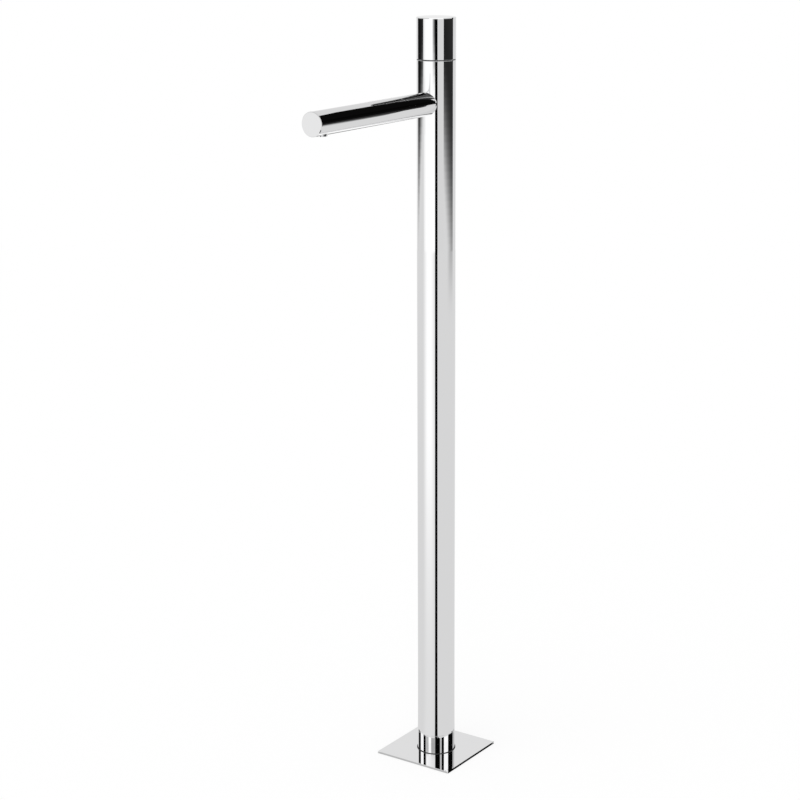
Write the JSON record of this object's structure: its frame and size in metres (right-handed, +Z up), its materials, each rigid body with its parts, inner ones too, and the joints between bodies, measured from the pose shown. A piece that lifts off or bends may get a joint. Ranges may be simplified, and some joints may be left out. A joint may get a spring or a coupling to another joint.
{
  "type": "floor-standing basin mixer",
  "caption": "Tall round column on a square floor plate, with a horizontal round spout near the top and a turning knob of the column's own diameter that opens and mixes the water.",
  "frame": {"origin": "on the column's axis at floor level, the underside of the foot and of the floor plate", "axes": "+Z up along the column, -Y along the spout from the column to its tip, +X to the right of a user who stands beyond the tip and faces the column"},
  "size_m": [0.128, 0.3505, 1.1],
  "materials": {
    "polished_chrome": "polished",
    "turned_brass": "satin",
    "stainless_screw": "satin",
    "supply_tube": "satin",
    "black_rubber": "matte",
    "acetal": "satin",
    "alumina": "satin"
  },
  "bodies": {
    "column": {"floor_plate": "polished_chrome", "base_collar": "polished_chrome", "column_tube": "polished_chrome", "spout_tube": "polished_chrome", "spout_end_cap": "polished_chrome", "aerator_shell": "polished_chrome", "base_body": "turned_brass", "pipe_nuts_lower": "turned_brass", "pipe_nuts_upper": "turned_brass", "valve_body": "turned_brass", "spout_nipple": "turned_brass", "spout_socket": "turned_brass", "aerator_housing": "turned_brass", "cartridge_nut": "turned_brass", "foot_locking_screws": "stainless_screw", "valve_locking_screws": "stainless_screw", "spout_locking_screw": "stainless_screw", "hot_supply_pipe": "supply_tube", "cold_supply_pipe": "supply_tube", "spout_water_tube": "supply_tube", "plate_seal_ring": "black_rubber", "base_o_rings": "black_rubber", "pipe_seals": "black_rubber", "pipe_spacer": "black_rubber", "spout_o_rings": "black_rubber", "aerator_seal": "black_rubber", "cartridge_port_seals": "black_rubber", "aerator_insert": "acetal", "cartridge_base": "acetal", "cartridge_housing": "acetal", "thrust_washer": "acetal", "guide_ring": "acetal", "fixed_ceramic_disc": "alumina"},
    "knob": {"knob_shell": "polished_chrome", "knob_plug": "polished_chrome", "knob_locking_screw": "stainless_screw", "knob_adapter": "acetal", "spindle": "turned_brass", "spindle_o_rings": "black_rubber", "disc_carrier": "acetal", "moving_ceramic_disc": "alumina"}
  },
  "joints": [
    {"name": "knob_turn", "type": "hinge", "parent": "column", "child": "knob", "pos_m": [0, 0, 1.043], "axis": [0, 0, 1], "range_deg": [0, 120]}
  ]
}
